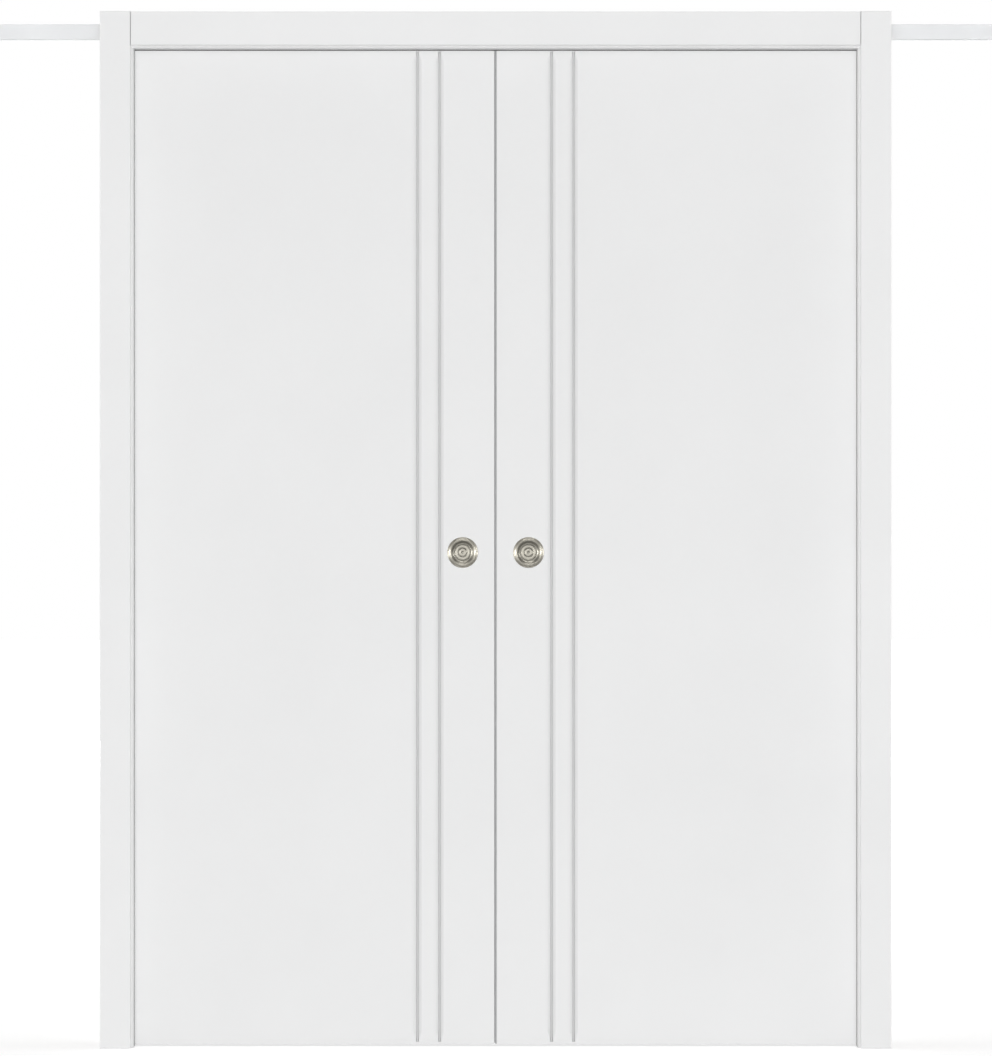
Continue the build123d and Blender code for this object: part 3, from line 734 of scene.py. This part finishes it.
def floor_points(sizes):
    """The outline of a pull's floor: its dimple, two grooves, each step up, and the fillet."""
    level = -sizes.cup_depth
    dimple = level - DIMPLE_DEPTH
    half = sizes.ring_width / 2
    flat = sizes.dimple_radius * DIMPLE_FLAT_SHARE
    points = [(0, dimple), (flat, dimple), (sizes.dimple_radius, level)]
    for ring in (sizes.inner_ring, sizes.outer_ring):
        bottom = level - sizes.ring_depth
        points.append((ring - half, level))
        points.append((ring - half * RING_FLAT_SHARE, bottom))
        points.append((ring + half * RING_FLAT_SHARE, bottom))
        level += RING_STEP
        points.append((ring + half, level))
    for step in range(FILLET_POINTS):
        out = sizes.floor_fillet * math.sin(FILLET_TURN * step)
        up = sizes.floor_fillet * (1 - math.cos(FILLET_TURN * step))
        points.append((floor_end(sizes) + out, level + up))
    return points


def rim_points(sizes):
    """The outline of a pull's rim, from the cup's mouth over the swell and the bead to the leaf."""
    crease = sizes.radius - sizes.bead_width
    swell = crease - sizes.cup_radius
    points = [(sizes.cup_radius, RIM_CREASE)]
    for share, fall in SWELL_TURNS:
        points.append((sizes.cup_radius + swell * share, sizes.rim_height - fall))
    points.append((crease, RIM_CREASE))
    for share in BEAD_TURNS:
        points.append((crease + sizes.bead_width * share, sizes.bead_height))
    return points + [(sizes.radius, BEAD_FOOT), (sizes.radius, 0.0)]


def pull_points(sizes):
    """A pull's turned outline, from the middle of the floor, over the rim, to the middle behind."""
    outside = sizes.cup_radius + sizes.cup_wall
    bottom = -sizes.cup_depth - DIMPLE_DEPTH - sizes.cup_wall
    back_points = [(outside, 0.0), (outside, bottom), (0, bottom)]
    return floor_points(sizes) + rim_points(sizes) + back_points


def spin_outline(bm, points, steps):
    """Joins points of radius and height to one open line and spins it once round Y."""
    verts = [bm.verts.new((radius, height, 0)) for radius, height in points]
    for first, second in zip(verts, verts[1:]):
        bm.edges.new((first, second))
    bmesh.ops.spin(
        bm,
        geom=verts + bm.edges[:],
        cent=(0, 0, 0),
        axis=(0, 1, 0),
        angle=math.tau,
        steps=steps,
        use_merge=True,
    )
    bmesh.ops.remove_doubles(bm, verts=bm.verts, dist=MERGE_DISTANCE)


def is_ring_corner(edge, sizes):
    """Whether an edge runs round the pull, is sharp and lies on the side that shows."""
    first, second = edge.verts
    return (
        len(edge.link_faces) == 2
        and edge.calc_face_angle(0) > SHARP_ANGLE
        and abs(first.co.y - second.co.y) < LEVEL_SLACK
        and first.co.xz.length > CORNER_SLACK
        and first.co.y > -sizes.cup_depth - DIMPLE_DEPTH - CORNER_SLACK
    )


def round_edges(bm, edges, offset, segments):
    bmesh.ops.bevel(
        bm,
        geom=edges,
        offset=offset,
        offset_type="OFFSET",
        affect="EDGES",
        segments=segments,
        profile=0.5,
        material=-1,
        clamp_overlap=True,
    )
    bmesh.ops.recalc_face_normals(bm, faces=bm.faces)


def make_pull(name, sizes, middle, facing, rim_material, floor_material):
    """A flush pull: its outline is spun round, its ring corners are rounded, and it is set in a leaf."""
    bm = bmesh.new()
    spin_outline(bm, pull_points(sizes), sizes.steps)
    corners = [edge for edge in bm.edges if is_ring_corner(edge, sizes)]
    round_edges(bm, corners, CORNER_ROUNDING, segments=3)
    if facing < 0:
        bmesh.ops.rotate(bm, verts=bm.verts, cent=(0, 0, 0), matrix=Matrix.Rotation(math.pi, 3, "X"))
    bmesh.ops.translate(bm, verts=bm.verts, vec=middle)
    piece = finished(name, bm, rim_material)
    piece.data.materials.append(floor_material)
    floor_slot = piece.data.materials.find(floor_material.name)
    for face in piece.data.polygons:
        if (face.center - middle).xz.length < floor_end(sizes):
            face.material_index = floor_slot
    return piece


def finished(name, bm, material):
    """Turns a bmesh into a smooth-shaded object at the origin."""
    mesh = bpy.data.meshes.new(name)
    bm.to_mesh(mesh)
    bm.free()
    for face in mesh.polygons:
        face.use_smooth = True
    mesh.materials.append(material)
    made = bpy.data.objects.new(name, mesh)
    bpy.context.scene.collection.objects.link(made)
    return made


def make_jamb_seal_and_shade(name, face_sign, material):
    """A soft dark fin round three sides of the doorway, in the slot between the jambs and the leaves:
    partly a seal, partly painted shade below and beside the jambs.
    """
    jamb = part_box("right_jamb_front")
    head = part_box("head_jamb_front")
    near = SLAB_BOX[1].y + SEAL_TO_LEAF
    far = -jamb[1].y - SEAL_TO_JAMB
    inner = jamb[0].x - SIDE_SEAL_PROUD
    outer = jamb[0].x + SEAL_ROOT
    under = head[0].z - HEAD_SEAL_PROUD
    over = head[0].z + SEAL_ROOT
    spans = (
        ((-outer, -inner), (SEAL_FOOT, over)),
        ((inner, outer), (SEAL_FOOT, over)),
        ((-inner, inner), (under, over)),
    )
    bm = bmesh.new()
    for (left, right), (low, high) in spans:
        size = Vector((right - left, far - near, high - low))
        middle = Vector(((left + right) / 2, face_sign * (near + far) / 2, (low + high) / 2))
        strip = bmesh.ops.create_cube(bm, size=1.0)["verts"]
        bmesh.ops.scale(bm, verts=strip, vec=size)
        bmesh.ops.translate(bm, verts=strip, vec=middle)
    round_edges(bm, bm.edges[:], SEAL_ROUNDING, segments=2)
    return finished(name, bm, material)


# Stage

STAGE_FLOOR_SIZE = 40.0
STAGE_FLOOR_DROP = 0.2 * MM
GLOW_DISTANCES = (1.2, 4.0)
GLOW_STRENGTHS = (0.66, 0.95)
LAMP_TARGET = Vector((0, 0, 1.05))

# Each far lamp's name, place, width and height, and share of the key power

KEY_LAMPS = (
    ("front_key", (0.0, -16.0, 0.8), (2.6, 1.4), 1.0),
    ("back_key", (0.0, 16.0, 0.8), (2.6, 1.4), 0.9),
    ("left_key", (-16.0, 0.0, 1.2), (1.4, 1.4), 0.5),
    ("right_key", (16.0, 0.0, 1.2), (1.4, 1.4), 0.5),
    ("top_key", (0.0, 0.0, 6.1), (2.6, 1.0), 0.022),
)

# Each lamp that lights only the pulls: its name, place before a face, width and height, and power

GLEAM_LAMPS = (
    ("middle_gleam", (0.0, 9.0, 1.8), (6.0, 5.0), 370.0),
    ("left_gleam", (-3.0, 4.2, 1.0), (0.7, 0.7), 420.0),
    ("right_gleam", (3.4, 3.6, 1.8), (1.0, 0.8), 140.0),
    ("top_gleam", (0.0, 2.3, 4.3), (3.2, 1.0), 220.0),
)


def camera_rays(tree):
    """One for rays that the camera, a mirror or a glass sends, and nought for light on surfaces."""
    path = tree.nodes.new("ShaderNodeLightPath")
    seen = math_node(tree, "ADD", path.outputs["Is Camera Ray"], path.outputs["Is Glossy Ray"])
    seen = math_node(tree, "ADD", seen, path.outputs["Is Transmission Ray"])
    return math_node(tree, "MINIMUM", seen, 1.0)


def make_floor(color):
    """A pale floor that looks white where no shadow falls."""
    bm = bmesh.new()
    bmesh.ops.create_grid(bm, x_segments=1, y_segments=1, size=STAGE_FLOOR_SIZE)
    bmesh.ops.translate(bm, verts=bm.verts, vec=(0, 0, -STAGE_FLOOR_DROP))
    paint = Paint("studio_floor", Roughness=0.9, Specular_IOR_Level=0.1, Emission_Color=(1, 1, 1, 1))
    tone = paint.effect("Soft mottle", Scale=0.7)
    paint.color(tone.outputs["Value"], shaded(color, 0.995), shaded(color, 1.005))
    away = add_node(paint.tree, "ShaderNodeVectorMath", operation="LENGTH")
    paint.tree.links.new(paint.place, away.inputs["Vector"])
    strength = spread_value(paint.tree, away.outputs["Value"], GLOW_DISTANCES, GLOW_STRENGTHS)
    paint.link(paint.math("MULTIPLY", camera_rays(paint.tree), strength), "Emission Strength")
    finished("studio_floor", bm, paint.material)


def make_background(fill):
    """White where it is seen, and a plain level of light on surfaces."""
    world = bpy.data.worlds.new("studio")
    world.use_nodes = True
    tree = world.node_tree
    background = tree.nodes["Background"]
    background.inputs["Color"].default_value = (1, 1, 1, 1)
    extra = math_node(tree, "MULTIPLY", camera_rays(tree), 1 - fill)
    tree.links.new(math_node(tree, "ADD", extra, fill), background.inputs["Strength"])
    bpy.context.scene.world = world


def add_lamp(name, place, size, power):
    """A rectangular soft lamp that faces the door's middle."""
    data = bpy.data.lights.new(name, "AREA")
    data.shape = "RECTANGLE"
    data.size, data.size_y = size
    data.energy = power
    lamp = bpy.data.objects.new(name, data)
    lamp.location = place
    direction = LAMP_TARGET - Vector(place)
    lamp.rotation_euler = direction.to_track_quat("-Z", "Y").to_euler()
    bpy.context.scene.collection.objects.link(lamp)
    return lamp


def make_camera(settings):
    """A long lens straight in front, so that the picture's long side takes in its height."""
    data = bpy.data.cameras.new("camera")
    data.sensor_fit = "AUTO"
    data.sensor_width = 36.0
    data.lens = data.sensor_width * settings.camera_distance / settings.picture_height
    data.clip_start = 0.1
    data.clip_end = 200.0
    data.dof.use_dof = False
    camera = bpy.data.objects.new("camera", data)
    front = CAD_BOX[0].y
    camera.location = (settings.picture_side, front - settings.camera_distance, settings.picture_middle)
    camera.rotation_euler = (math.pi / 2, 0, 0)
    bpy.context.scene.collection.objects.link(camera)
    bpy.context.scene.camera = camera


# Operators

class POCKETDOOR_OT_leaves(bpy.types.Operator):
    """Gives the sliding leaves their white laminate and their meeting edges' seals their rubber, whose
    dark colour partly stands for the shade in the gap between the leaves
    """

    bl_idname = "pocket_door.leaves"
    bl_label = "Leaves"

    def execute(self, context):
        finishes = context.scene.pocket_door_finishes
        laminate = leaf_laminate("door_laminate", finishes.leaf_color, finishes.groove_painted_shade)
        dress(laminate, *on_both_sides("slab"))
        # The dark seal rubber is partly painted shade for the gap between the leaves
        rubber = moulded_plastic("seal_rubber", finishes.meeting_seal_and_shade_color, roughness=0.7, skin_scale=1600.0)
        dress(rubber, *on_both_sides("edge_seal"))
        return {"FINISHED"}


class POCKETDOOR_OT_frame(bpy.types.Operator):
    """Gives the casings and jambs their white laminate"""

    bl_idname = "pocket_door.frame"
    bl_label = "Casings and jambs"

    def execute(self, context):
        finishes = context.scene.pocket_door_finishes
        casings = casing_laminate("frame_laminate", finishes.frame_color, finishes.joint_painted_shade)
        dress(casings, *on_both_faces("head_casing"), *on_both_sides(*on_both_faces("casing")))
        # The jambs get a darker copy of the frame laminate as painted shade
        jambs = jamb_laminate_with_painted_shade("jamb_laminate_with_painted_shade", finishes.frame_color, finishes.jamb_painted_shade)
        dress(jambs, *on_both_faces("head_jamb"), *on_both_sides(*on_both_faces("jamb")))
        return {"FINISHED"}


class POCKETDOOR_OT_jamb_seals_and_shade(bpy.types.Operator):
    """Sets a soft dark fin in the slot round the leaves, on both faces: partly a seal, partly painted
    shade under and beside the jambs
    """

    bl_idname = "pocket_door.jamb_seals"
    bl_label = "Jamb seals"

    def execute(self, context):
        color = context.scene.pocket_door_finishes.jamb_seal_and_shade_color
        material = moulded_plastic("jamb_seal_rubber_and_shade", color, roughness=0.75, skin_scale=1600.0)
        for face, face_sign in FACES:
            piece = make_jamb_seal_and_shade(f"jamb_seal_{face}", face_sign, material)
            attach(piece, "frame")
        return {"FINISHED"}


class POCKETDOOR_OT_timber(bpy.types.Operator):
    """Gives the studs, cleats and header board their grain"""

    bl_idname = "pocket_door.timber"
    bl_label = "Studs and header"

    def execute(self, context):
        finishes = context.scene.pocket_door_finishes
        upright = planed_softwood("softwood_upright", finishes.softwood_color, along_z=True)
        level = planed_softwood("softwood_level", finishes.softwood_color, along_z=False)
        dress(upright, *on_both_sides(*on_both_faces("stud")))
        dress(level, *on_both_faces("header_cleat"))
        dress(layered_plywood("plywood", finishes.plywood_color), "header_board")
        return {"FINISHED"}


class POCKETDOOR_OT_rails(bpy.types.Operator):
    """Finishes the rails and the stops in them"""

    bl_idname = "pocket_door.rails"
    bl_label = "Rails and stops"

    def execute(self, context):
        finishes = context.scene.pocket_door_finishes
        dress(anodised_aluminium("anodised_rail", finishes.rail_color), *on_both_sides("rail"))
        stops = moulded_plastic("stop_plastic", finishes.stop_color, roughness=0.5, skin_scale=1500.0)
        dress(stops, "centre_stop", *on_both_sides("end_stop"))
        return {"FINISHED"}


class POCKETDOOR_OT_guides(bpy.types.Operator):
    """Finishes the floor guides and the brackets under the studs"""

    bl_idname = "pocket_door.guides"
    bl_label = "Floor guides and brackets"

    def execute(self, context):
        finishes = context.scene.pocket_door_finishes
        nylon = moulded_plastic("guide_nylon", finishes.guide_color, roughness=0.48, skin_scale=1200.0)
        dress(nylon, *on_both_sides("floor_guides"))
        sheet = galvanised_sheet("galvanised_plate", finishes.galvanised_color)
        dress(sheet, *on_both_sides("floor_bracket"))
        return {"FINISHED"}


class POCKETDOOR_OT_hangers(bpy.types.Operator):
    """Finishes the hanger plates, carriages and wheels"""

    bl_idname = "pocket_door.hangers"
    bl_label = "Hangers"

    def execute(self, context):
        finishes = context.scene.pocket_door_finishes
        sheet = bpy.data.materials["galvanised_plate"]
        dress(sheet, *on_both_sides("hanger_plate_inner", "hanger_plate_outer"))
        cast = cast_zinc("cast_zinc", finishes.cast_color)
        dress(cast, *on_both_sides("carriage_inner", "carriage_outer"))
        nylon = moulded_plastic("wheel_nylon", finishes.wheel_color, roughness=0.38, skin_scale=1800.0)
        pairs = [f"wheels_{place}_{end}" for place in ("inner", "outer") for end in ("near", "far")]
        dress(nylon, *on_both_sides(*pairs))
        return {"FINISHED"}


class POCKETDOOR_OT_screws(bpy.types.Operator):
    """Finishes the screws, hanger bolts and axles"""

    bl_idname = "pocket_door.screws"
    bl_label = "Screws, bolts and axles"

    def execute(self, context):
        material = bright_zinc("zinc_screw", context.scene.pocket_door_finishes.screw_color)
        dress(material, "pan_head_screws", "countersunk_screws")
        dress(material, *on_both_sides("plate_screws", "hanger_bolts", "wheel_axles"))
        return {"FINISHED"}


class POCKETDOOR_OT_pulls(bpy.types.Operator):
    """Turns the four flush pulls and sets them in the leaves"""

    bl_idname = "pocket_door.pulls"
    bl_label = "Flush pulls"

    def execute(self, context):
        sizes = context.scene.pocket_door_pulls
        low, high = PULL_BOX
        middle = (low.x + high.x) / 2
        height = (low.z + high.z) / 2
        color = context.scene.pocket_door_finishes.nickel_color
        rim = turned_nickel("satin_nickel", color, RIM_COMBING, sizes, middle, height)
        floor = turned_nickel("satin_nickel_floor", color, FLOOR_COMBING, sizes, middle, height)
        for side, side_sign in SIDES:
            for face, face_sign in FACES:
                place = Vector((side_sign * middle, face_sign * SLAB_BOX[1].y, height))
                name = f"{side}_turned_pull_{face}"
                piece = make_pull(name, sizes, place, face_sign, rim, floor)
                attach(piece, f"{side}_leaf")
                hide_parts(f"{side}_pull_{face}")
        return {"FINISHED"}


class POCKETDOOR_OT_stage(bpy.types.Operator):
    """Sets the floor, the lamps, the background and the camera"""

    bl_idname = "pocket_door.stage"
    bl_label = "Studio"

    def execute(self, context):
        settings = context.scene.pocket_door_stage
        make_floor(settings.floor_color)
        make_background(settings.fill_strength)
        for name, place, size, share in KEY_LAMPS:
            key = add_lamp(name, place, size, share * settings.key_power)
            key.visible_glossy = False
        for face, face_sign in FACES:
            pulls = bpy.data.collections.new(f"{face.title()} pulls")
            for side, _ in SIDES:
                pulls.objects.link(bpy.data.objects[f"{side}_turned_pull_{face}"])
            for name, (across, away, height), size, power in GLEAM_LAMPS:
                place = (across, face_sign * away, height)
                gleam = add_lamp(f"{face}_{name}", place, size, power * settings.gleam)
                gleam.visible_diffuse = False
                gleam.light_linking.receiver_collection = pulls
        make_camera(settings)
        context.scene.view_settings.view_transform = "Standard"
        return {"FINISHED"}


# Panel and registration

class POCKETDOOR_PT_panel(bpy.types.Panel):
    """Lists the door's pieces and their sizes and colours"""

    bl_idname = "POCKETDOOR_PT_panel"
    bl_label = "Double pocket door"
    bl_space_type = "VIEW_3D"
    bl_region_type = "UI"
    bl_category = "Pocket door"

    def draw(self, context):
        for operator in OPERATORS:
            self.layout.operator(operator.bl_idname)
        for group, settings in SETTINGS.items():
            for name in settings.__annotations__:
                self.layout.prop(getattr(context.scene, group), name)


OPERATORS = (
    POCKETDOOR_OT_leaves,
    POCKETDOOR_OT_frame,
    POCKETDOOR_OT_jamb_seals_and_shade,
    POCKETDOOR_OT_timber,
    POCKETDOOR_OT_rails,
    POCKETDOOR_OT_guides,
    POCKETDOOR_OT_hangers,
    POCKETDOOR_OT_screws,
    POCKETDOOR_OT_pulls,
    POCKETDOOR_OT_stage,
)
SETTINGS = {
    "pocket_door_finishes": PocketDoorFinishes,
    "pocket_door_pulls": PocketDoorPulls,
    "pocket_door_stage": PocketDoorStage,
}


def register():
    for group, settings in SETTINGS.items():
        bpy.utils.register_class(settings)
        setattr(bpy.types.Scene, group, bpy.props.PointerProperty(type=settings))
    for operator in OPERATORS:
        bpy.utils.register_class(operator)
    bpy.utils.register_class(POCKETDOOR_PT_panel)


def unregister():
    bpy.utils.unregister_class(POCKETDOOR_PT_panel)
    for operator in reversed(OPERATORS):
        bpy.utils.unregister_class(operator)
    for group, settings in SETTINGS.items():
        delattr(bpy.types.Scene, group)
        bpy.utils.unregister_class(settings)


def main():
    register()
    bpy.ops.pocket_door.leaves()
    bpy.ops.pocket_door.frame()
    bpy.ops.pocket_door.jamb_seals()
    bpy.ops.pocket_door.timber()
    bpy.ops.pocket_door.rails()
    bpy.ops.pocket_door.guides()
    bpy.ops.pocket_door.hangers()
    bpy.ops.pocket_door.screws()
    bpy.ops.pocket_door.pulls()
    bpy.ops.pocket_door.stage()


if __name__ == "__main__":
    main()
